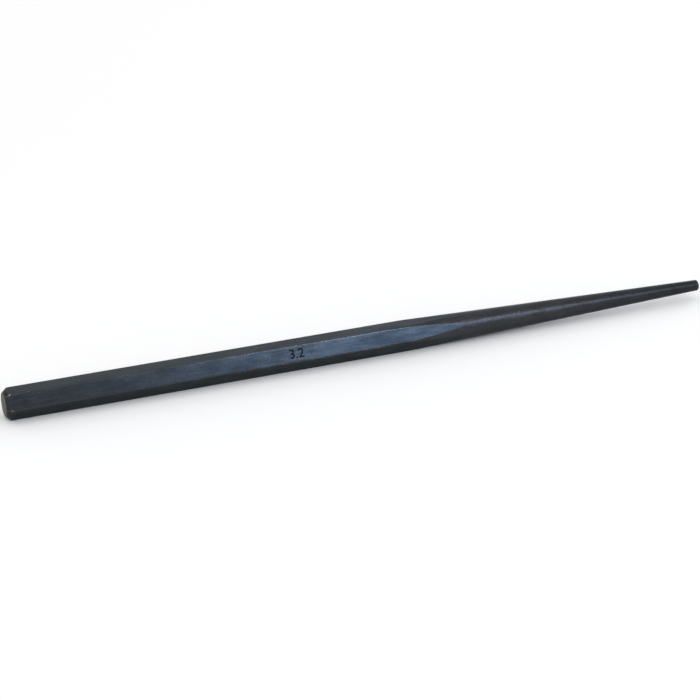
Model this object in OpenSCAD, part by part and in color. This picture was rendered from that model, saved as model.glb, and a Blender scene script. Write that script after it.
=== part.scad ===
// Line-up punch: one piece of hexagon bar steel, with a chamfered struck end
// and a long round taper that is pushed through holes to bring them in line.
// It lies along X on one flat of the bar, struck end at -X and tip at +X.
// The surface that it lies on is Z = 0, and the origin is under its mid-length.

/* [Bar] */
// Length over all, from the struck face to the tip
overall_l = 209.55; // [160:0.05:300]
// Width of the hexagon bar across its flats
across_flats = 7.94; // [6:0.01:12.7]
// Depth rolled off each corner of the hexagon
corner_break = 0.07; // [0.01:0.01:0.2]

/* [Struck end] */
// Diameter of the flat face that the hammer meets
face_d = 6.6; // [4:0.1:6.8]
// Length of the chamfer, from the struck face to the corners of the bar
head_chamfer_l = 1.5; // [0.5:0.1:4]

/* [Point] */
// Length of the round taper, from the corners of the bar to the tip
taper_l = 95.25; // [50:0.25:140]
// Diameter of the taper at the tip
tip_d = 3.18; // [2:0.01:5]
// Width of the chamfer round the tip
tip_chamfer = 0.25; // [0.1:0.05:0.8]

/* [Hidden] */
$fn = 96;

sides = 6;
half_side_angle = 180 / sides;
flat_r = across_flats / 2;
sharp_corner_d = across_flats / cos(half_side_angle);
corner_r = sharp_corner_d / 2 - corner_break;
face_r = face_d / 2;
tip_r = tip_d / 2;
taper_start = overall_l - taper_l;
taper_slope = (corner_r - tip_r) / taper_l;
flats_end = taper_start + (corner_r - flat_r) / taper_slope;
tip_shoulder_r = tip_r + taper_slope * tip_chamfer;
tip_face_r = tip_r - tip_chamfer;

// The bar as it comes, standing on its struck end with two flats facing along X.
module hexagon_bar() {
    rotate(half_side_angle)
        cylinder(d = sharp_corner_d, h = overall_l, $fn = sides);
}

// Everything that is turned or ground round: both chamfers, the corners and the taper.
module turned_envelope() {
    rotate_extrude()
        polygon([
            [0, 0],
            [face_r, 0],
            [corner_r, head_chamfer_l],
            [corner_r, taper_start],
            [flat_r, flats_end],
            [tip_shoulder_r, overall_l - tip_chamfer],
            [tip_face_r, overall_l],
            [0, overall_l]
        ]);
}

// The whole tool is one solid: the bar, kept inside the turned envelope.
// The flats run out on the taper in long pointed scallops, up to flats_end.
module punch() {
    color("#3a3d43")
        translate([-overall_l / 2, 0, flat_r])
            rotate([0, 90, 0])
                intersection() {
                    hexagon_bar();
                    turned_envelope();
                }
}

punch();
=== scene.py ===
"""The looks of a line-up punch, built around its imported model.

The tool is one bar of hexagon steel that lies along X on one of its flats. The
struck end is at -X, with a chamfer round it, and the round taper ends in a small
flat tip at +X. The surface that it lies on is Z = 0. Lengths are in metres.
"""

import logging
import math
from dataclasses import dataclass, field, fields
from enum import Enum
from typing import Optional, Union

import bpy
from mathutils import Euler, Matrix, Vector


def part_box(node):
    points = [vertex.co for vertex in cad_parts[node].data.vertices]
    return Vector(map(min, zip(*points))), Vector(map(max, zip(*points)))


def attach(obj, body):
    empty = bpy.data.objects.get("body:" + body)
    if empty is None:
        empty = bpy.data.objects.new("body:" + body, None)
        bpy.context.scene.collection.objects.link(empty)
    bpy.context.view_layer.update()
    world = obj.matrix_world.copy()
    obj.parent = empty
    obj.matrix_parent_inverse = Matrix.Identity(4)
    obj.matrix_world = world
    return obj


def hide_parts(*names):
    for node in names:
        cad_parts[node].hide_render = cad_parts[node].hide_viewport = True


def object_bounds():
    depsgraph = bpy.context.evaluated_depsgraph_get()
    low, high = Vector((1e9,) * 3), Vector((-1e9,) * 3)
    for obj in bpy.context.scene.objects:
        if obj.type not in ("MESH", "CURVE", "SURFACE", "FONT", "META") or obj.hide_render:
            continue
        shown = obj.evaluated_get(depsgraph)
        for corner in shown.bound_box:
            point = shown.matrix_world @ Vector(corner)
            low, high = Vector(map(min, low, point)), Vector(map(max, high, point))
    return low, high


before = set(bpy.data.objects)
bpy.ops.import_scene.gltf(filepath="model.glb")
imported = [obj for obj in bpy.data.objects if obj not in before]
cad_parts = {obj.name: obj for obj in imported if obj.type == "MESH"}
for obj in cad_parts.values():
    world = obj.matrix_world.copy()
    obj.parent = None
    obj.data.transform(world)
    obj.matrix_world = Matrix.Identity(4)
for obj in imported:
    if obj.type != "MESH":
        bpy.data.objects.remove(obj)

CAD_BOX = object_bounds()
AXIS_HEIGHT = (CAD_BOX[0][2] + CAD_BOX[1][2]) / 2
TIP_PLACE = CAD_BOX[1][0]
LOG = logging.getLogger("line_up_punch")

MM = 0.001
SIDES = 6
SIDE_ANGLE = math.tau / SIDES
HALF_SIDE = SIDE_ANGLE / 2

# Values that the shape stores on its surface for the finishes
EDGE_WEAR = "edge_wear"
HANDLED = "handled"
MARK = "mark"
STRETCH = "stretch"

# Numbers of the colour sockets of a Mix node
FIRST_COLOUR = 6
SECOND_COLOUR = 7
MIXED_COLOUR = 2

# Width of a smooth minimum for each unit that it takes off a sharp corner
BLEND_PER_DEPTH = 6.0

# Size of the type for each unit of its digits' height
TYPE_PER_HEIGHT = 1.4

Colour = tuple[float, float, float]
Point = tuple[float, float, float]
Number = Union[float, "Field"]
Tree = bpy.types.NodeTree
Node = bpy.types.Node
Socket = bpy.types.NodeSocket


class Field:
    """One output socket of a node, with the arithmetic that shapes and finishes are written in."""

    def __init__(self, tree: Tree, socket: Socket) -> None:
        """Keeps the tree and the socket that the value comes from."""
        self.tree = tree
        self.socket = socket

    def maths(self, operation: str, *operands: Number, first: Optional[float] = None) -> "Field":
        """Adds one Math node to the tree.

        Args:
            operation: The Math node's operation.
            operands: What follows this value in the node's inputs.
            first: What stands before this value, if anything does.

        Returns:
            The node's result.
        """
        node = self.tree.nodes.new("ShaderNodeMath")
        node.operation = operation
        values = (self, *operands) if first is None else (first, self)
        for socket, value in zip(node.inputs, values):
            connect(self.tree, value, socket)
        return Field(self.tree, node.outputs[0])

    def __add__(self, other: Number) -> "Field":
        """Adds another value."""
        return self.maths("ADD", other)

    def __radd__(self, other: float) -> "Field":
        """Adds this value to a number."""
        return self.maths("ADD", first=other)

    def __sub__(self, other: Number) -> "Field":
        """Takes another value away."""
        return self.maths("SUBTRACT", other)

    def __rsub__(self, other: float) -> "Field":
        """Takes this value away from a number."""
        return self.maths("SUBTRACT", first=other)

    def __mul__(self, other: Number) -> "Field":
        """Multiplies by another value."""
        return self.maths("MULTIPLY", other)

    def __truediv__(self, other: Number) -> "Field":
        """Divides by another value."""
        return self.maths("DIVIDE", other)

    def __rtruediv__(self, other: float) -> "Field":
        """Divides a number by this value."""
        return self.maths("DIVIDE", first=other)

    def __abs__(self) -> "Field":
        """Drops the sign."""
        return self.maths("ABSOLUTE")

    def clamped(self) -> "Field":
        """Keeps the value between 0 and 1.

        Returns:
            The nearest value in that range.
        """
        result = self.maths("ADD", 0.0)
        result.socket.node.use_clamp = True
        return result

    def smooth(self) -> "Field":
        """Eases a value from 0 to 1 in and out."""
        held = self.clamped()
        return held * held * (3.0 - held * 2.0)

    def length_with(self, other: "Field") -> "Field":
        """Gives the length of the slope that has these two legs."""
        return (self * self + other * other).maths("SQRT")


def connect(tree: Tree, value: object, socket: Socket) -> None:
    """Links a field into a socket, or sets the socket to a plain value.

    Args:
        tree: The tree that holds the socket.
        value: A field, an output socket, or a plain value of the socket's own kind.
        socket: The input socket.
    """
    if isinstance(value, Field):
        tree.links.new(value.socket, socket)
    elif isinstance(value, Socket):
        tree.links.new(value, socket)
    else:
        socket.default_value = value


def add_node(tree: Tree, kind: str, settings: Optional[dict[str, object]] = None,
             **inputs: object) -> Node:
    """Adds a node, sets its properties and fills its input sockets.

    Args:
        tree: The tree to add to.
        kind: The node's type.
        settings: Properties of the node by name.
        inputs: Input sockets by name, with underscores for spaces.

    Returns:
        The new node.
    """
    node = tree.nodes.new(kind)
    for name, value in (settings or {}).items():
        setattr(node, name, value)
    for name, value in inputs.items():
        connect(tree, value, node.inputs[name.replace("_", " ")])
    return node


def vector_maths(tree: Tree, operation: str, first: object, second: object) -> Socket:
    """Adds one Vector Math node that works on two vectors.

    Args:
        tree: The tree to add to.
        operation: The node's operation.
        first: The first vector.
        second: The second vector.

    Returns:
        The node's result.
    """
    node = add_node(tree, "ShaderNodeVectorMath", {"operation": operation})
    connect(tree, first, node.inputs[0])
    connect(tree, second, node.inputs[1])
    return node.outputs[0]


def mix_colours(tree: Tree, share: Field, first: object, second: object) -> Socket:
    """Adds a node that mixes two colours.

    Args:
        tree: The tree to add to.
        share: The share of the second colour.
        first: The colour where the share is 0.
        second: The colour where the share is 1.

    Returns:
        The mixed colour.
    """
    node = add_node(tree, "ShaderNodeMix", {"data_type": "RGBA"}, Factor=share)
    connect(tree, first, node.inputs[FIRST_COLOUR])
    connect(tree, second, node.inputs[SECOND_COLOUR])
    return node.outputs[MIXED_COLOUR]


def noise(tree: Tree, place: Socket, scale: Number, detail: float, roughness: float = 0.5) -> Field:
    """Adds a cloudy noise.

    Args:
        tree: The tree to add to.
        place: The place that it is drawn from.
        scale: The number of clouds to a unit of length.
        detail: The number of finer layers on top.
        roughness: The strength of each finer layer.

    Returns:
        The noise, about a half in the mean.
    """
    node = add_node(
        tree, "ShaderNodeTexNoise", Vector=place, Scale=scale, Detail=detail, Roughness=roughness,
    )
    return Field(tree, node.outputs["Fac"])


def surface_value(tree: Tree, name: str) -> Field:
    """Reads a value that the shape has stored on its surface.

    Args:
        tree: The material's tree.
        name: The value's name.

    Returns:
        The value.
    """
    node = add_node(tree, "ShaderNodeAttribute", {"attribute_name": name})
    return Field(tree, node.outputs["Fac"])


def store_value(tree: Tree, geometry: Socket, name: str, value: Field) -> Socket:
    """Stores a value on each point of a geometry.

    Args:
        tree: The shape's tree.
        geometry: The geometry.
        name: The value's name.
        value: The value.

    Returns:
        The geometry with the value on it.
    """
    node = add_node(
        tree, "GeometryNodeStoreNamedAttribute", {"data_type": "FLOAT", "domain": "POINT"},
        Geometry=geometry, Name=name, Value=value,
    )
    return node.outputs[0]


class SocketKind(Enum):
    """The kinds of socket that the node groups have."""

    VALUE = "NodeSocketFloat"
    VECTOR = "NodeSocketVector"
    COLOUR = "NodeSocketColor"
    GEOMETRY = "NodeSocketGeometry"


class Ease(Enum):
    """How the rings of a stretch are spread along it."""

    EVEN = "even"
    DENSE_START = "dense start"
    DENSE_END = "dense end"
    DENSE_ENDS = "dense ends"
    DENSEST_ENDS = "densest ends"

    def of(self, share: Field) -> Field:
        """Turns an even share of a stretch into the eased one.

        Args:
            share: The even share, from 0 to 1.

        Returns:
            The eased share, from 0 to 1 too.
        """
        if self is Ease.DENSE_START:
            return share * share
        if self is Ease.DENSE_END:
            return share * (2.0 - share)
        if self is Ease.DENSE_ENDS:
            return share.smooth()
        if self is Ease.DENSEST_ENDS:
            return share * share * share * (10.0 - share * (15.0 - share * 6.0))
        return share


class Stretch(Enum):
    """The stretches of the tool's outline, from the struck face to the tip."""

    STRUCK_FACE = (0, 12, Ease.DENSE_END)
    HEAD_CHAMFER = (1, 16, Ease.DENSE_ENDS)
    FLATS_BEFORE_MARK = (2, 64, Ease.DENSEST_ENDS)
    FLATS_AT_MARK = (3, 84, Ease.EVEN)
    FLATS_AFTER_MARK = (4, 64, Ease.DENSEST_ENDS)
    TAPER = (5, 90, Ease.DENSEST_ENDS)
    TIP_CHAMFER = (6, 10, Ease.DENSE_ENDS)
    TIP_FACE = (7, 8, Ease.DENSE_START)

    def __init__(self, place: int, rings: int, ease: Ease) -> None:
        """Keeps what a stretch is made of.

        Args:
            place: Its place in the outline.
            rings: The number of rings of faces along it.
            ease: How the rings are spread.
        """
        self.place = place
        self.rings = rings
        self.ease = ease


@dataclass(frozen=True)
class Heading:
    """The direction that a stretch of the outline runs in: along the tool, and out from its axis."""

    along: Number
    outward: Number


class GrainRun(Enum):
    """Which way the tool marks of a worked surface run."""

    LENGTHWISE = "lengthwise"
    ROUND = "round"


@dataclass(frozen=True)
class OxideFinish:
    """Black oxide on steel, as it shows on one kind of worked surface.

    The oxide drifts between its dark and its light tone, with patches of its tint, and
    bare is the steel where it is rubbed off. The two roughnesses are those of the
    smoothest and the roughest streaks. A shade is how far the grain, the blotches or the
    mark changes the oxide, and the tip's shade is painted shade that darkens the colour
    towards the tip. A shade of 0 leaves it as it is.
    """

    name: str
    dark: Colour
    light: Colour
    tint: Colour
    bare: Colour
    roughness: tuple[float, float]
    edge_tint: Colour
    run: GrainRun
    grain_length: float
    grain_width: float
    grain_height: float
    grain_shade: float
    blotch_size: float
    wear: float
    nicks: float
    mark_shade: float = 0.0
    mark_roughness: float = 0.0
    # Painted shade: how far the colour darkens towards the tip, and over what length
    painted_tip_shade: float = 0.0
    painted_tip_shade_length: float = 75.0 * MM
    patch_shade: float = 0.0
    blotch_shift: Point = (0.0, 0.0, 0.0)
    blotch_stretch: float = 1.0
    unhandled_grain: float = 0.15

    def material(self, effects: "Effects") -> bpy.types.Material:
        """Builds the finish as a material.

        Args:
            effects: The shared effects that it is mixed from.

        Returns:
            The material.
        """
        made = bpy.data.materials.new(self.name)
        made.use_nodes = True
        tree = made.node_tree
        shader = tree.nodes["Principled BSDF"]
        place = add_node(tree, "ShaderNodeTexCoord").outputs["Object"]
        grain = add_node(
            tree, "ShaderNodeGroup", {"node_tree": effects.grain},
            Place=self._grain_place(tree, place), Length=self.grain_length, Width=self.grain_width,
        )
        blotches = add_node(
            tree, "ShaderNodeGroup", {"node_tree": effects.blotches},
            Place=place, Size=self.blotch_size, Stretch=self.blotch_stretch, Shift=self.blotch_shift,
            Dark=(*self.dark, 1.0), Light=(*self.light, 1.0), Tint=(*self.tint, 1.0),
        )
        wear = add_node(
            tree, "ShaderNodeGroup", {"node_tree": effects.wear},
            Place=place, Exposed=surface_value(tree, EDGE_WEAR), Amount=self.wear, Nicks=self.nicks,
        )
        streaks = Field(tree, grain.outputs["Streaks"])
        tone = Field(tree, blotches.outputs["Tone"])
        worn = Field(tree, wear.outputs["Mask"])
        oxide = add_node(
            tree, "ShaderNodeVectorMath", {"operation": "SCALE"},
            Vector=blotches.outputs["Colour"], Scale=self._shade(tree, place, streaks, tone),
        )
        bump = add_node(
            tree, "ShaderNodeBump", Strength=1.0, Distance=self.grain_height,
            Height=grain.outputs["Height"],
        )
        colour = mix_colours(tree, worn, oxide.outputs[0], (*self.bare, 1.0))
        connect(tree, colour, shader.inputs["Base Color"])
        connect(tree, self._roughness(tree, streaks), shader.inputs["Roughness"])
        connect(tree, bump.outputs["Normal"], shader.inputs["Normal"])
        shader.inputs["Metallic"].default_value = 1.0
        shader.inputs["Specular Tint"].default_value = (*self.edge_tint, 1.0)
        return made

    def _grain_place(self, tree: Tree, place: Socket) -> Socket:
        """Turns a place on the tool into the one that its grain is drawn from.

        Args:
            tree: The material's tree.
            place: The place on the tool.

        Returns:
            The same place for lengthwise grain, and one with equal rings round the axis for
            turned grain.
        """
        if self.run is GrainRun.LENGTHWISE:
            return place
        split = add_node(tree, "ShaderNodeSeparateXYZ", Vector=place)
        height = Field(tree, split.outputs["Z"]) - AXIS_HEIGHT
        radius = Field(tree, split.outputs["Y"]).length_with(height)
        rings = add_node(tree, "ShaderNodeCombineXYZ", Y=radius, Z=split.outputs["X"])
        return rings.outputs[0]

    def _shade(self, tree: Tree, place: Socket, streaks: Field, tone: Field) -> Field:
        """Tells how far the grain, the blotches and the mark change the oxide, with painted shade
        towards the tip.

        Args:
            tree: The material's tree.
            place: The place on the tool.
            streaks: The grain's streaks, from 0 to 1.
            tone: The share of the lighter tone in the blotches.

        Returns:
            The factor for the oxide's colour.
        """
        handled = surface_value(tree, HANDLED)
        shade = (streaks - 0.5) * (handled + self.unhandled_grain) * self.grain_shade + 1.0
        if self.patch_shade > 0.0:
            shade = shade * ((tone - 0.5) * handled * self.patch_shade + 1.0)
        if self.mark_shade > 0.0:
            shade = shade * (1.0 - surface_value(tree, MARK) * self.mark_shade)
        # Painted shade: the colour darkens towards the tip, where the reflections look dimmer
        if self.painted_tip_shade > 0.0:
            along = Field(tree, add_node(tree, "ShaderNodeSeparateXYZ", Vector=place).outputs["X"])
            painted_shade_start = TIP_PLACE - self.painted_tip_shade_length
            near_tip = ((along - painted_shade_start) / self.painted_tip_shade_length).smooth()
            shade = shade * (1.0 - near_tip * self.painted_tip_shade)
        return shade

    def _roughness(self, tree: Tree, streaks: Field) -> Field:
        """Tells how rough the surface is, from streak to streak and in the mark.

        Args:
            tree: The material's tree.
            streaks: The grain's streaks, from 0 to 1.

        Returns:
            The roughness.
        """
        smoothest, roughest = self.roughness
        roughness = streaks * (roughest - smoothest) + smoothest
        if self.mark_roughness > 0.0:
            roughness = roughness + surface_value(tree, MARK) * self.mark_roughness
        return roughness


DRAWN_FLATS = OxideFinish(
    name="black_oxide_on_drawn_flats",
    dark=(0.0275, 0.03, 0.0325),
    light=(0.0352, 0.0382, 0.0417),
    tint=(0.033, 0.0345, 0.038),
    bare=(0.172, 0.2, 0.228),
    roughness=(0.19, 0.28),
    edge_tint=(0.83, 0.88, 0.91),
    run=GrainRun.LENGTHWISE,
    grain_length=6.0 * MM,
    grain_width=0.55 * MM,
    grain_height=0.016 * MM,
    grain_shade=0.46,
    blotch_size=3.2 * MM,
    wear=0.66,
    nicks=0.3,
    mark_shade=0.6,
    mark_roughness=0.12,
    patch_shade=0.18,
    blotch_shift=(250.0 * MM, 200.0 * MM, 0.0),
    blotch_stretch=2.5,
)

GROUND_TAPER = OxideFinish(
    name="black_oxide_on_ground_taper",
    dark=(0.0396, 0.0428, 0.0472),
    light=(0.0492, 0.0524, 0.0567),
    tint=(0.048, 0.0472, 0.0525),
    bare=(0.22, 0.22, 0.225),
    roughness=(0.26, 0.38),
    edge_tint=(0.80, 0.82, 0.86),
    run=GrainRun.LENGTHWISE,
    grain_length=2.6 * MM,
    grain_width=0.6 * MM,
    grain_height=0.09 * MM,
    grain_shade=0.1,
    blotch_size=7.0 * MM,
    wear=0.4,
    nicks=0.15,
    # Painted shade: the taper's colour darkens towards the tip
    painted_tip_shade=0.36,
)

TURNED_ENDS = OxideFinish(
    name="black_oxide_on_turned_ends",
    dark=(0.0248, 0.0248, 0.0244),
    light=(0.034, 0.0337, 0.0327),
    tint=(0.0377, 0.0354, 0.035),
    bare=(0.245, 0.25, 0.256),
    roughness=(0.32, 0.44),
    edge_tint=(0.78, 0.775, 0.735),
    run=GrainRun.ROUND,
    grain_length=1.0 * MM,
    grain_width=0.16 * MM,
    grain_height=0.006 * MM,
    grain_shade=0.4,
    blotch_size=1.6 * MM,
    wear=0.62,
    nicks=0.3,
)


@dataclass
class Effects:
    """The node groups that the finishes share.

    A low is the value of a noise where its effect starts, and a span is the range over
    which it grows. A limit is the value where chips and nicks break through, and a
    sharpness is how abruptly they do.
    """

    speck_size: float = 0.6 * MM
    speck_share: float = 0.35
    streak_low: float = 0.41
    streak_span: float = 0.18
    tone_low: float = 0.35
    tone_span: float = 0.3
    patch_scale: float = 0.6
    patch_shift: Point = (310.0 * MM, 170.0 * MM, 230.0 * MM)
    patch_low: float = 0.48
    patch_span: float = 0.2
    chip_size: float = 1.2 * MM
    chip_limit: float = 0.85
    chip_sharpness: float = 4.0
    least_rubbed: float = 0.3
    nick_size: float = 0.9 * MM
    nick_limit: float = 0.69
    nick_sharpness: float = 14.0
    grain: Tree = field(init=False)
    blotches: Tree = field(init=False)
    wear: Tree = field(init=False)

    def __post_init__(self) -> None:
        """Builds each group once."""
        self.grain = self._grain_group()
        self.blotches = self._blotch_group()
        self.wear = self._wear_group()

    @staticmethod
    def _group(name: str, inputs: dict[str, SocketKind],
               outputs: dict[str, SocketKind]) -> tuple[Tree, Node, Node]:
        """Starts a shader group with its sockets.

        Args:
            name: The group's name.
            inputs: Kind of each input socket by name.
            outputs: Kind of each output socket by name.

        Returns:
            The group's tree, its input node and its output node.
        """
        tree = bpy.data.node_groups.new(name, "ShaderNodeTree")
        for socket, kind in inputs.items():
            tree.interface.new_socket(socket, in_out="INPUT", socket_type=kind.value)
        for socket, kind in outputs.items():
            tree.interface.new_socket(socket, in_out="OUTPUT", socket_type=kind.value)
        return tree, tree.nodes.new("NodeGroupInput"), tree.nodes.new("NodeGroupOutput")

    def _grain_group(self) -> Tree:
        """Builds the fine lines and specks that working the steel leaves.

        Returns:
            A group that gives streaks from 0 to 1 and a height for relief.
        """
        tree, given, put = self._group(
            "worked_grain",
            {"Place": SocketKind.VECTOR, "Length": SocketKind.VALUE, "Width": SocketKind.VALUE},
            {"Streaks": SocketKind.VALUE, "Height": SocketKind.VALUE},
        )
        place = given.outputs["Place"]
        along = 1.0 / Field(tree, given.outputs["Length"])
        across = 1.0 / Field(tree, given.outputs["Width"])
        stretch = add_node(tree, "ShaderNodeCombineXYZ", X=along, Y=across, Z=across)
        drawn = vector_maths(tree, "MULTIPLY", place, stretch.outputs[0])
        lines = noise(tree, drawn, scale=1.0, detail=4.0, roughness=0.6)
        specks = noise(tree, place, scale=1.0 / self.speck_size, detail=3.0, roughness=0.55)
        mixed = lines * (1.0 - self.speck_share) + specks * self.speck_share
        streaks = ((mixed - self.streak_low) / self.streak_span).clamped()
        connect(tree, streaks, put.inputs["Streaks"])
        connect(tree, mixed, put.inputs["Height"])
        return tree

    def _blotch_group(self) -> Tree:
        """Builds the slow drift of colour that the blacking bath leaves.

        Returns:
            A group that gives a colour, and the share of its lighter tone.
        """
        tree, given, put = self._group(
            "oxide_blotches",
            {"Place": SocketKind.VECTOR, "Size": SocketKind.VALUE, "Stretch": SocketKind.VALUE,
             "Shift": SocketKind.VECTOR, "Dark": SocketKind.COLOUR, "Light": SocketKind.COLOUR,
             "Tint": SocketKind.COLOUR},
            {"Colour": SocketKind.COLOUR, "Tone": SocketKind.VALUE},
        )
        place = given.outputs["Place"]
        scale = 1.0 / Field(tree, given.outputs["Size"])
        shorter = 1.0 / Field(tree, given.outputs["Stretch"])
        along = add_node(tree, "ShaderNodeCombineXYZ", X=shorter, Y=1.0, Z=1.0)
        shifted = vector_maths(tree, "ADD", place, given.outputs["Shift"])
        drawn = vector_maths(tree, "MULTIPLY", shifted, along.outputs[0])
        drift = noise(tree, drawn, scale=scale, detail=5.0)
        tone = ((drift - self.tone_low) / self.tone_span).smooth()
        pair = mix_colours(tree, tone, given.outputs["Dark"], given.outputs["Light"])
        moved = vector_maths(tree, "ADD", place, self.patch_shift)
        patches = noise(tree, moved, scale=scale * self.patch_scale, detail=3.0)
        share = ((patches - self.patch_low) / self.patch_span).smooth()
        colour = mix_colours(tree, share, pair, given.outputs["Tint"])
        connect(tree, colour, put.inputs["Colour"])
        connect(tree, tone, put.inputs["Tone"])
        return tree

    def _wear_group(self) -> Tree:
        """Builds the bright metal that handling brings out along edges and in small nicks.

        Returns:
            A group that gives a mask.
        """
        tree, given, put = self._group(
            "edge_wear",
            {"Place": SocketKind.VECTOR, "Exposed": SocketKind.VALUE, "Amount": SocketKind.VALUE,
             "Nicks": SocketKind.VALUE},
            {"Mask": SocketKind.VALUE},
        )
        place = given.outputs["Place"]
        exposed = Field(tree, given.outputs["Exposed"])
        amount = Field(tree, given.outputs["Amount"])
        chips = noise(tree, place, scale=1.0 / self.chip_size, detail=6.0, roughness=0.7)
        chance = chips + exposed * amount - self.chip_limit
        chipped = (chance * self.chip_sharpness).smooth()
        rubbed = (chipped * (1.0 - self.least_rubbed) + self.least_rubbed) * exposed
        dots = noise(tree, place, scale=1.0 / self.nick_size, detail=2.0, roughness=0.6)
        broken = ((dots - self.nick_limit) * self.nick_sharpness).smooth()
        nicked = broken * Field(tree, given.outputs["Nicks"])
        connect(tree, rubbed.maths("MAXIMUM", nicked), put.inputs["Mask"])
        return tree


@dataclass(frozen=True)
class Rubbing:
    """Where handling rubs the oxide off the tool.

    A width, a fade or a tail is how far a rubbed place reaches, and a share is how far it
    is exposed at most. The part far_side of that is left on the side away from the rubbed
    one, and the part unhandled where the tool isn't handled.
    """

    corner_width: float = math.radians(4.0)
    chamfer_corner_width: float = math.radians(17.0)
    rim_width: float = 0.6 * MM
    taper_fade: float = 6.0 * MM
    head_tail: float = 2.2 * MM
    rubbed_side: float = math.radians(135.0)
    far_side: float = 0.35
    unhandled: float = 0.7
    corner_share: float = 0.85
    rim_share: float = 0.45
    chamfer_corner_share: float = 0.42
    chamfer_rim_share: float = 0.05
    head_corner_share: float = 0.14

    def exposure(self, reach: Field, turn: Field, lean: Field, handled: Field,
                 ends: dict[Stretch, Field]) -> Field:
        """Tells how far each place stands out to be rubbed bare.

        Args:
            reach: The distance walked along the outline.
            turn: The angle round the axis.
            lean: The angle from the middle of a flat.
            handled: How much the place is handled.
            ends: Where each stretch ends.

        Returns:
            A value from 0 in the open to 1 on an outer corner.
        """
        off_corner = abs(lean) - HALF_SIDE
        corner = ((off_corner + self.corner_width) / self.corner_width).smooth()
        chamfer_corner = ((off_corner + self.chamfer_corner_width) / self.chamfer_corner_width).smooth()
        on_bar = ((ends[Stretch.FLATS_AFTER_MARK] - reach) / self.taper_fade).clamped()
        off_face = ((reach - ends[Stretch.STRUCK_FACE]) / self.rim_width).clamped()
        facing = (turn - self.rubbed_side).maths("COSINE") * 0.5 + 0.5
        side = facing * facing * facing * (1.0 - self.far_side) + self.far_side
        use = handled * (1.0 - self.unhandled) + self.unhandled
        face_rim, head_rim, tip_rim = (
            1.0 - (abs(reach - ends[stretch]) / self.rim_width).clamped()
            for stretch in (Stretch.STRUCK_FACE, Stretch.HEAD_CHAMFER, Stretch.TAPER)
        )
        past_head = reach - ends[Stretch.HEAD_CHAMFER]
        after_chamfer = (past_head / self.rim_width + 1.0).clamped()
        by_head = (1.0 - past_head / self.head_tail).clamped()
        along_corner = corner * on_bar * off_face * side * use * self.corner_share
        along_rim = face_rim.maths("MAXIMUM", tip_rim) * self.rim_share
        on_chamfer_rim = chamfer_corner * side * self.chamfer_corner_share + self.chamfer_rim_share
        head_corner = corner * after_chamfer * by_head * self.head_corner_share
        return (along_corner + along_rim + head_rim * on_chamfer_rim + head_corner).clamped()


@dataclass(frozen=True)
class Layout:
    """How the tool's faces are laid out round it, and how close their seams are welded.

    A pull, from 0 to 1, draws the columns of faces on a flat towards its corners.
    """

    mark_columns: int = 96
    plain_columns: int = 24
    mark_pull: float = 0.5
    plain_pull: float = 0.9
    sheet_weld: float = 0.001
    weld: float = 0.0002 * MM

    @property
    def columns(self) -> int:
        """The number of columns of faces round the tool."""
        return self.mark_columns + (SIDES - 1) * self.plain_columns


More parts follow.
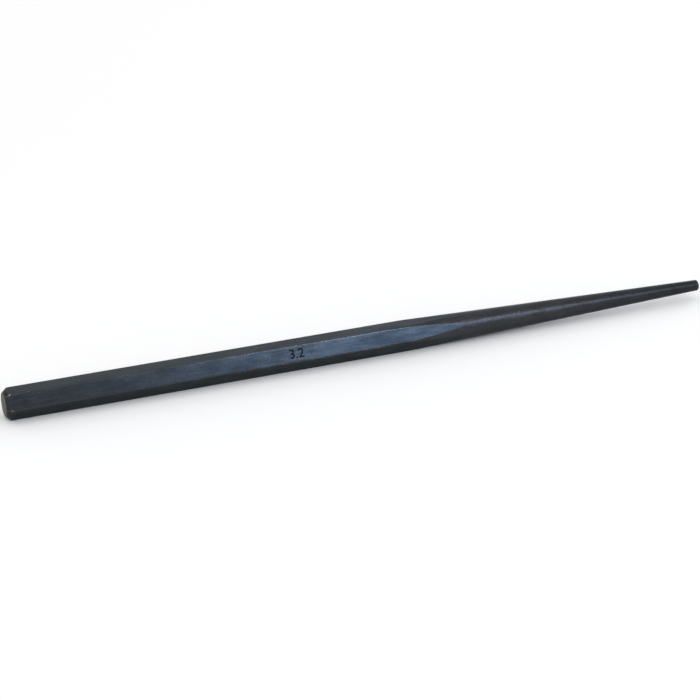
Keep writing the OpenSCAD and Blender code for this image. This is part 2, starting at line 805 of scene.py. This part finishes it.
@dataclass
class Punch:
    """The whole tool: hexagon bar, struck end, taper and tip in one piece."""

    length: float
    across_flats: float
    across_corners: float
    flat_crown: float = 0.015 * MM
    face_diameter: float = 6.6 * MM
    head_chamfer: float = 1.5 * MM
    taper_length: float = 95.25 * MM
    tip_diameter: float = 3.18 * MM
    tip_chamfer: float = 0.25 * MM
    face_edge_round: float = 0.16 * MM
    chamfer_edge_round: float = 0.16 * MM
    scallop_round: float = 1.2 * MM
    tip_round: float = 0.12 * MM
    handled_from: float = 25.0 * MM
    handled_rise: float = 60.0 * MM
    mark: str = "3.2"
    mark_place: float = 81.8 * MM
    mark_span: float = 6.0 * MM
    mark_height: float = 2.65 * MM
    mark_depth: float = 0.2 * MM
    mark_wall: float = 0.11 * MM
    mark_lip: float = 0.012 * MM
    mark_lip_width: float = 0.16 * MM
    mark_touch: float = 0.02 * MM
    layout: Layout = Layout()
    rubbing: Rubbing = Rubbing()

    @classmethod
    def from_frame(cls) -> "Punch":
        """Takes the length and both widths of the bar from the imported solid.

        Returns:
            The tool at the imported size.
        """
        low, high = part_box("punch")
        size = high - low
        return cls(length=size.x, across_flats=size.z, across_corners=size.y)

    def sizes(self) -> dict[str, float]:
        """Gives the sizes that the shape's tree takes, by the name of its input."""
        names = [item.name for item in fields(self) if item.type is float]
        return {name.replace("_", " ").title(): getattr(self, name) for name in names}

    def build(self, effects: Effects) -> bpy.types.Object:
        """Makes the tool as a plain mesh.

        Args:
            effects: The effects that its finishes share.

        Returns:
            The piece.
        """
        tree = self._shape_tree(effects)
        host = bpy.data.objects.new("punch_host", bpy.data.meshes.new("punch_host"))
        bpy.context.scene.collection.objects.link(host)
        modifier = host.modifiers.new("shape", "NODES")
        modifier.node_group = tree
        values = self.sizes()
        for item in tree.interface.items_tree:
            if item.item_type == "SOCKET" and item.in_out == "INPUT" and item.name in values:
                modifier[item.identifier] = values[item.name]
        graph = bpy.context.evaluated_depsgraph_get()
        mesh = bpy.data.meshes.new_from_object(host.evaluated_get(graph), depsgraph=graph)
        host.modifiers.remove(modifier)
        bpy.data.objects.remove(host)
        mesh.name = "line_up_punch"
        piece = bpy.data.objects.new("line_up_punch", mesh)
        bpy.context.scene.collection.objects.link(piece)
        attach(piece, "root")
        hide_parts("punch")
        return piece

    def _shape_tree(self, effects: Effects) -> Tree:
        """Builds the tree that makes the tool's shape from its sizes.

        Args:
            effects: The effects that its finishes share.

        Returns:
            The Geometry Nodes tree.
        """
        tree = bpy.data.node_groups.new("punch_shape", "GeometryNodeTree")
        tree.is_modifier = True
        for name in self.sizes():
            tree.interface.new_socket(name, in_out="INPUT", socket_type=SocketKind.VALUE.value)
        tree.interface.new_socket("Geometry", in_out="OUTPUT", socket_type=SocketKind.GEOMETRY.value)
        given = tree.nodes.new("NodeGroupInput")
        size = {name: Field(tree, given.outputs[name]) for name in self.sizes()}

        sheet = self._sheet(tree)
        sheet_place = add_node(tree, "GeometryNodeInputPosition").outputs[0]
        split = add_node(tree, "ShaderNodeSeparateXYZ", Vector=sheet_place)
        row = Field(tree, split.outputs["X"])
        column = Field(tree, split.outputs["Y"])
        turn, lean = self._angles(tree, column)
        flat_r = size["Across Flats"] * 0.5
        corner_r = size["Across Corners"] * 0.5
        bar_r = self._bar_radius(lean, flat_r, corner_r, size["Flat Crown"])
        along, radius, handled, wear = self._outline(size, row, turn, lean, bar_r, corner_r)

        noted = store_value(tree, sheet, HANDLED, handled)
        noted = store_value(tree, noted, EDGE_WEAR, wear)
        named = add_node(
            tree, "GeometryNodeStoreNamedAttribute", {"data_type": "INT", "domain": "FACE"},
            Geometry=noted, Name=STRETCH, Value=row.maths("FLOOR"),
        )
        place = add_node(
            tree, "ShaderNodeCombineXYZ",
            X=along - size["Length"] * 0.5,
            Y=radius * turn.maths("COSINE"),
            Z=radius * turn.maths("SINE") + flat_r,
        )
        bent = add_node(
            tree, "GeometryNodeSetPosition", Geometry=named.outputs[0], Position=place.outputs[0],
        )
        closed = add_node(
            tree, "GeometryNodeMergeByDistance", Geometry=bent.outputs[0], Distance=self.layout.weld,
        )
        stamped = self._stamp(tree, size, closed.outputs[0], flat_r)
        smooth = add_node(tree, "GeometryNodeSetShadeSmooth", Geometry=stamped, Shade_Smooth=True)
        whole = add_node(tree, "GeometryNodeRealizeInstances", Geometry=smooth.outputs[0])
        dressed = self._dress(tree, whole.outputs[0], effects)
        put = tree.nodes.new("NodeGroupOutput")
        connect(tree, dressed, put.inputs[0])
        return tree

    def _sheet(self, tree: Tree) -> Socket:
        """Lays all the stretches side by side on one flat sheet.

        A stretch takes one unit of X, and a column of faces takes one unit of Y.

        Args:
            tree: The shape's tree.

        Returns:
            The sheet's geometry.
        """
        columns = self.layout.columns
        joined = tree.nodes.new("GeometryNodeJoinGeometry")
        for stretch in reversed(Stretch):
            grid = add_node(
                tree, "GeometryNodeMeshGrid", Size_X=1.0, Size_Y=float(columns),
                Vertices_X=stretch.rings + 1, Vertices_Y=columns + 1,
            )
            moved = add_node(
                tree, "GeometryNodeTransform", Geometry=grid.outputs["Mesh"],
                Translation=(stretch.place + 0.5, columns / 2, 0.0),
            )
            connect(tree, moved.outputs[0], joined.inputs[0])
        merged = add_node(
            tree, "GeometryNodeMergeByDistance", Geometry=joined.outputs[0],
            Distance=self.layout.sheet_weld,
        )
        return merged.outputs[0]

    def _angles(self, tree: Tree, column: Field) -> tuple[Field, Field]:
        """Spreads the columns round the axis, close together at the corners and on the marked flat.

        Args:
            tree: The shape's tree.
            column: The column's number.

        Returns:
            The angle round the axis, and the angle from the middle of the column's own flat.
        """
        layout = self.layout
        plain = (column - layout.mark_columns) / layout.plain_columns
        plain_side = plain.maths("FLOOR")
        marked_share = self._spread(column / layout.mark_columns, layout.mark_pull)
        plain_share = self._spread(plain - plain_side, layout.plain_pull)
        on_marked = column.maths("LESS_THAN", float(layout.mark_columns))
        choice = add_node(tree, "GeometryNodeSwitch", {"input_type": "FLOAT"}, Switch=on_marked)
        connect(tree, plain_share, choice.inputs["False"])
        connect(tree, marked_share, choice.inputs["True"])
        share = Field(tree, choice.outputs[0])
        side = (plain_side + 1.0).maths("MAXIMUM", 0.0)
        first_corner = math.pi
        turn = first_corner - (side + share) * SIDE_ANGLE
        return turn, (share - 0.5) * SIDE_ANGLE

    @staticmethod
    def _spread(share: Field, pull: float) -> Field:
        """Draws an even share of a flat towards its two corners, by pull from 0 to 1."""
        return share - (share * math.tau).maths("SINE") * (pull / math.tau)

    @staticmethod
    def _bar_radius(lean: Field, flat_r: Field, corner_r: Field, crown: Field) -> Field:
        """Gives the hexagon's radius, with its corners rolled off and its flats a little crowned.

        Args:
            lean: The angle from the middle of a flat.
            flat_r: Half the width across flats.
            corner_r: Half the width across corners.
            crown: How far a flat falls away from its middle to its edges.

        Returns:
            The distance from the axis to the bar's surface.
        """
        own = flat_r / lean.maths("COSINE")
        next_one = flat_r / (SIDE_ANGLE - abs(lean)).maths("COSINE")
        rolled_off = flat_r / math.cos(HALF_SIDE) - corner_r
        rounded = own.maths("SMOOTH_MIN", next_one, rolled_off * BLEND_PER_DEPTH)
        off_middle = lean / HALF_SIDE
        return rounded - off_middle * off_middle * crown

    def _outline(self, size: dict[str, Field], row: Field, turn: Field, lean: Field, bar_r: Field,
                 corner_r: Field) -> tuple[Field, Field, Field, Field]:
        """Walks along the outline from the middle of the struck face to the middle of the tip.

        Args:
            size: The tool's sizes by name.
            row: The place on the sheet, one unit a stretch.
            turn: The angle round the axis.
            lean: The angle from the middle of a flat.
            bar_r: The bar's own radius there.
            corner_r: Half the width across corners.

        Returns:
            The distance along the tool, the distance from its axis, how much the place is handled,
            and how exposed it is to wear.
        """
        face_r = size["Face Diameter"] * 0.5
        tip_r = size["Tip Diameter"] * 0.5
        taper_start = size["Length"] - size["Taper Length"]
        slope = (corner_r - tip_r) / size["Taper Length"]
        tip_shoulder = size["Length"] - size["Tip Chamfer"]
        tip_face_r = tip_r - size["Tip Chamfer"]
        tip_drop = size["Tip Chamfer"] * (slope + 1.0)

        chamfer_rise = corner_r - face_r
        chamfer_slant = chamfer_rise.length_with(size["Head Chamfer"])
        taper_slant = (slope * slope + 1.0).maths("SQRT")
        tip_slant = tip_drop.length_with(size["Tip Chamfer"])
        chamfer_end = size["Head Chamfer"] * (bar_r - face_r) / chamfer_rise
        flats_end = taper_start + (corner_r - bar_r) / slope
        mark_start = size["Mark Place"] - size["Mark Span"] * 0.5

        lengths = {
            Stretch.STRUCK_FACE: face_r,
            Stretch.HEAD_CHAMFER: (bar_r - face_r) * chamfer_slant / chamfer_rise,
            Stretch.FLATS_BEFORE_MARK: mark_start - chamfer_end,
            Stretch.FLATS_AT_MARK: size["Mark Span"],
            Stretch.FLATS_AFTER_MARK: flats_end - mark_start - size["Mark Span"],
            Stretch.TAPER: (tip_shoulder - flats_end) * taper_slant,
            Stretch.TIP_CHAMFER: tip_slant,
            Stretch.TIP_FACE: tip_face_r,
        }
        ends: dict[Stretch, Field] = {}
        walked: Number = 0.0
        reach: Number = 0.0
        for stretch, length in lengths.items():
            share = (row - stretch.place).clamped()
            reach = reach + stretch.ease.of(share) * length
            walked = walked + length
            ends[stretch] = walked

        outward = Heading(0.0, 1.0)
        up_chamfer = Heading(size["Head Chamfer"] / chamfer_slant, chamfer_rise / chamfer_slant)
        level = Heading(1.0, 0.0)
        down_taper = Heading(1.0 / taper_slant, slope / taper_slant * -1.0)
        down_tip = Heading(size["Tip Chamfer"] / tip_slant, tip_drop / tip_slant * -1.0)
        inward = Heading(0.0, -1.0)
        creases = (
            (ends[Stretch.STRUCK_FACE], outward, up_chamfer, size["Face Edge Round"]),
            (ends[Stretch.HEAD_CHAMFER], up_chamfer, level, size["Chamfer Edge Round"]),
            (ends[Stretch.FLATS_AFTER_MARK], level, down_taper, size["Scallop Round"]),
            (ends[Stretch.TAPER], down_taper, down_tip, size["Tip Round"]),
            (ends[Stretch.TIP_CHAMFER], down_tip, inward, size["Tip Round"]),
        )
        along: Number = 0.0
        radius = reach
        for crease, before, after, rounding in creases:
            past = (reach - crease).maths("SMOOTH_MAX", 0.0, rounding)
            along = along + past * (after.along - before.along)
            radius = radius + past * (after.outward - before.outward)
        handled = ((along - size["Handled From"]) / size["Handled Rise"]).smooth()
        return along, radius, handled, self.rubbing.exposure(reach, turn, lean, handled, ends)

    def _stamp(self, tree: Tree, size: dict[str, Field], geometry: Socket, flat_r: Field) -> Socket:
        """Presses the size mark into the flat that faces up and to the front.

        Args:
            tree: The shape's tree.
            size: The tool's sizes by name.
            geometry: The tool without its mark.
            flat_r: Half the width across flats.

        Returns:
            The tool with its mark.
        """
        facing = math.pi - HALF_SIDE
        normal = Vector((0.0, math.cos(facing), math.sin(facing)))
        tilt = Euler((math.pi / 2 - HALF_SIDE, 0.0, 0.0))
        digits = add_node(
            tree, "GeometryNodeStringToCurves", {"align_x": "CENTER", "align_y": "MIDDLE"},
            String=self.mark, Size=size["Mark Height"] * TYPE_PER_HEIGHT,
        )
        outlines = add_node(
            tree, "GeometryNodeRealizeInstances", Geometry=digits.outputs["Curve Instances"],
        )
        filled = add_node(tree, "GeometryNodeFillCurve", Curve=outlines.outputs[0])
        edges = add_node(tree, "GeometryNodeCurveToMesh", Curve=outlines.outputs[0])
        seat = add_node(
            tree, "ShaderNodeCombineXYZ",
            X=size["Mark Place"] - size["Length"] * 0.5,
            Y=flat_r * normal.y,
            Z=flat_r * normal.z + flat_r,
        )
        gaps = {}
        for element, shape in (("FACES", filled), ("EDGES", edges)):
            placed = add_node(
                tree, "GeometryNodeTransform", Geometry=shape.outputs[0], Translation=seat.outputs[0],
                Rotation=tilt,
            )
            near = add_node(tree, "GeometryNodeProximity", {"target_element": element})
            connect(tree, placed.outputs[0], near.inputs[0])
            gaps[element] = Field(tree, near.outputs["Distance"])
        inside = gaps["FACES"].maths("LESS_THAN", size["Mark Touch"])
        pressed = (gaps["EDGES"] / size["Mark Wall"]).smooth() * inside
        pushed_up = (1.0 - gaps["EDGES"] / size["Mark Lip Width"]).smooth() * (1.0 - inside)
        rise = pushed_up * size["Mark Lip"] - pressed * size["Mark Depth"]
        noted = store_value(tree, geometry, MARK, pressed)
        shift = add_node(
            tree, "ShaderNodeVectorMath", {"operation": "SCALE"}, Vector=normal, Scale=rise,
        )
        sunk = add_node(tree, "GeometryNodeSetPosition", Geometry=noted, Offset=shift.outputs[0])
        return sunk.outputs[0]

    def _dress(self, tree: Tree, geometry: Socket, effects: Effects) -> Socket:
        """Gives the flats, the taper and the two ends their finishes.

        Args:
            tree: The shape's tree.
            geometry: The tool's geometry.
            effects: The effects that its finishes share.

        Returns:
            The dressed geometry.
        """
        alone = 0.5
        with_neighbours = 1.5
        named = add_node(tree, "GeometryNodeInputNamedAttribute", {"data_type": "INT"}, Name=STRETCH)
        stretch = Field(tree, named.outputs["Attribute"])
        on_flats = stretch.maths("COMPARE", float(Stretch.FLATS_AT_MARK.place), with_neighbours)
        on_taper = stretch.maths("COMPARE", float(Stretch.TAPER.place), alone)
        dressed = geometry
        for finish, chosen in ((TURNED_ENDS, True), (DRAWN_FLATS, on_flats), (GROUND_TAPER, on_taper)):
            coat = add_node(
                tree, "GeometryNodeSetMaterial", Geometry=dressed, Selection=chosen,
                Material=finish.material(effects),
            )
            dressed = coat.outputs[0]
        return dressed


@dataclass(frozen=True)
class SoftPanel:
    """A soft lamp, placed by its turn to the right of -Y, its lift off the floor and its distance.

    One that doesn't light the floor still shows on the steel.
    """

    name: str
    turn: float
    lift: float
    width: float
    height: float
    colour: Colour
    power: float
    lights_floor: bool = True
    distance: float = 1.2


COOL_PANEL = SoftPanel(
    name="cool_panel",
    turn=math.radians(23.7),
    lift=math.radians(31.0),
    width=0.307,
    height=0.27,
    colour=(0.36, 0.62, 1.0),
    power=1.39,
)

HIGH_PANEL = SoftPanel(
    name="high_panel",
    turn=math.radians(29.0),
    lift=math.radians(42.0),
    width=0.11,
    height=0.26,
    colour=(0.71, 0.79, 1.0),
    power=2.4,
    lights_floor=False,
)

RIGHT_PANEL = SoftPanel(
    name="right_panel",
    turn=math.radians(45.0),
    lift=math.radians(43.0),
    width=0.12,
    height=0.26,
    colour=(1.0, 0.93, 0.88),
    power=0.4,
)

LEFT_PANEL = SoftPanel(
    name="left_panel",
    turn=math.radians(-50.0),
    lift=math.radians(28.0),
    width=0.40,
    height=0.28,
    colour=(0.92, 0.96, 1.0),
    power=0.9,
)

SIDE_PANEL = SoftPanel(
    name="side_panel",
    turn=math.radians(-95.0),
    lift=math.radians(40.0),
    width=0.48,
    height=0.30,
    colour=(1.0, 0.9, 1.0),
    power=1.15,
    lights_floor=False,
)

BACK_PANEL = SoftPanel(
    name="back_panel",
    turn=math.radians(125.0),
    lift=math.radians(28.0),
    width=0.36,
    height=0.28,
    colour=(0.92, 0.96, 1.0),
    power=0.9,
)

BEHIND_PANEL = SoftPanel(
    name="behind_panel",
    turn=math.radians(163.0),
    lift=math.radians(27.0),
    width=0.42,
    height=0.30,
    colour=(0.2, 0.6, 1.0),
    power=0.06,
)


@dataclass
class Studio:
    """The camera, the pale floor and the soft light round the tool."""

    camera_turn: float = math.radians(-21.02)
    camera_lift: float = math.radians(26.89)
    camera_distance: float = 603.8 * MM
    camera_target: Point = (-5.852 * MM, 0.0, 2.394 * MM)
    clip_start: float = 10.0 * MM
    focal_pixels: float = 2144.0
    picture_pixels: float = 700.0
    sensor_width: float = 36.0
    floor_width: float = 6.0
    floor_gap: float = 0.02 * MM
    floor_colour: Colour = (0.998, 0.988, 0.979)
    floor_roughness: float = 0.9
    horizon_strength: float = 0.94
    zenith_strength: float = 0.91
    panels: tuple[SoftPanel, ...] = (
        COOL_PANEL, HIGH_PANEL, RIGHT_PANEL, LEFT_PANEL, SIDE_PANEL, BACK_PANEL, BEHIND_PANEL,
    )

    def build(self) -> None:
        """Makes the camera, the floor, the surroundings and the lamps."""
        self._camera()
        self._floor()
        self._sky()
        for panel in self.panels:
            self._lamp(panel)
        bpy.context.scene.view_settings.view_transform = "Standard"

    @staticmethod
    def _towards(turn: float, lift: float) -> Vector:
        """Gives the unit direction that is turned to the right of -Y and lifted off the floor."""
        level = math.cos(lift)
        return Vector((math.sin(turn) * level, -math.cos(turn) * level, math.sin(lift)))

    @staticmethod
    def _aim(item: bpy.types.Object, back: Vector) -> None:
        """Turns a camera or a lamp so that it looks against the direction that it stands in."""
        item.rotation_euler = (-back).to_track_quat("-Z", "Y").to_euler()

    def _camera(self) -> None:
        """Makes the camera where the photograph was taken from."""
        data = bpy.data.cameras.new("camera")
        data.sensor_width = self.sensor_width
        data.lens = self.sensor_width * self.focal_pixels / self.picture_pixels
        data.clip_start = self.clip_start
        camera = bpy.data.objects.new("camera", data)
        bpy.context.scene.collection.objects.link(camera)
        back = self._towards(self.camera_turn, self.camera_lift)
        camera.location = Vector(self.camera_target) + back * self.camera_distance
        self._aim(camera, back)
        bpy.context.scene.camera = camera

    def _floor(self) -> None:
        """Makes the pale floor, which is white in the open and takes the tool's shadow."""
        half = self.floor_width / 2
        outline = ((-half, -half), (half, -half), (half, half), (-half, half))
        mesh = bpy.data.meshes.new("floor")
        mesh.from_pydata([(x, y, -self.floor_gap) for x, y in outline], [], [(0, 1, 2, 3)])
        floor = bpy.data.objects.new("floor", mesh)
        bpy.context.scene.collection.objects.link(floor)
        made = bpy.data.materials.new("pale_floor")
        made.use_nodes = True
        shader = made.node_tree.nodes["Principled BSDF"]
        shader.inputs["Base Color"].default_value = (*self.floor_colour, 1.0)
        shader.inputs["Roughness"].default_value = self.floor_roughness
        shader.inputs["Specular IOR Level"].default_value = 0.0
        mesh.materials.append(made)

    def _sky(self) -> None:
        """Makes the white surroundings, a little brighter towards the horizon."""
        world = bpy.data.worlds.new("white_surroundings")
        world.use_nodes = True
        tree = world.node_tree
        background = tree.nodes["Background"]
        background.inputs["Color"].default_value = (1.0, 1.0, 1.0, 1.0)
        direction = add_node(tree, "ShaderNodeTexCoord").outputs["Generated"]
        split = add_node(tree, "ShaderNodeSeparateXYZ", Vector=direction)
        lift = Field(tree, split.outputs["Z"]).smooth()
        strength = lift * (self.zenith_strength - self.horizon_strength) + self.horizon_strength
        connect(tree, strength, background.inputs["Strength"])
        bpy.context.scene.world = world

    def _lamp(self, panel: SoftPanel) -> None:
        """Makes one soft lamp that looks at the tool.

        Args:
            panel: The lamp's place, size and colour.
        """
        data = bpy.data.lights.new(panel.name, "AREA")
        data.shape = "RECTANGLE"
        data.size = panel.width
        data.size_y = panel.height
        data.color = panel.colour
        data.energy = panel.power
        lamp = bpy.data.objects.new(panel.name, data)
        lamp.visible_diffuse = panel.lights_floor
        bpy.context.scene.collection.objects.link(lamp)
        back = self._towards(panel.turn, panel.lift)
        lamp.location = back * panel.distance
        self._aim(lamp, back)


def main() -> None:
    """Builds the studio and the tool, and reports each piece."""
    logging.basicConfig(level=logging.INFO, format="%(message)s")
    Studio().build()
    punch = Punch.from_frame()
    piece = punch.build(Effects())
    mesh = piece.data
    LOG.info("%s: %d vertices, %d faces", piece.name, len(mesh.vertices), len(mesh.polygons))


if __name__ == "__main__":
    main()
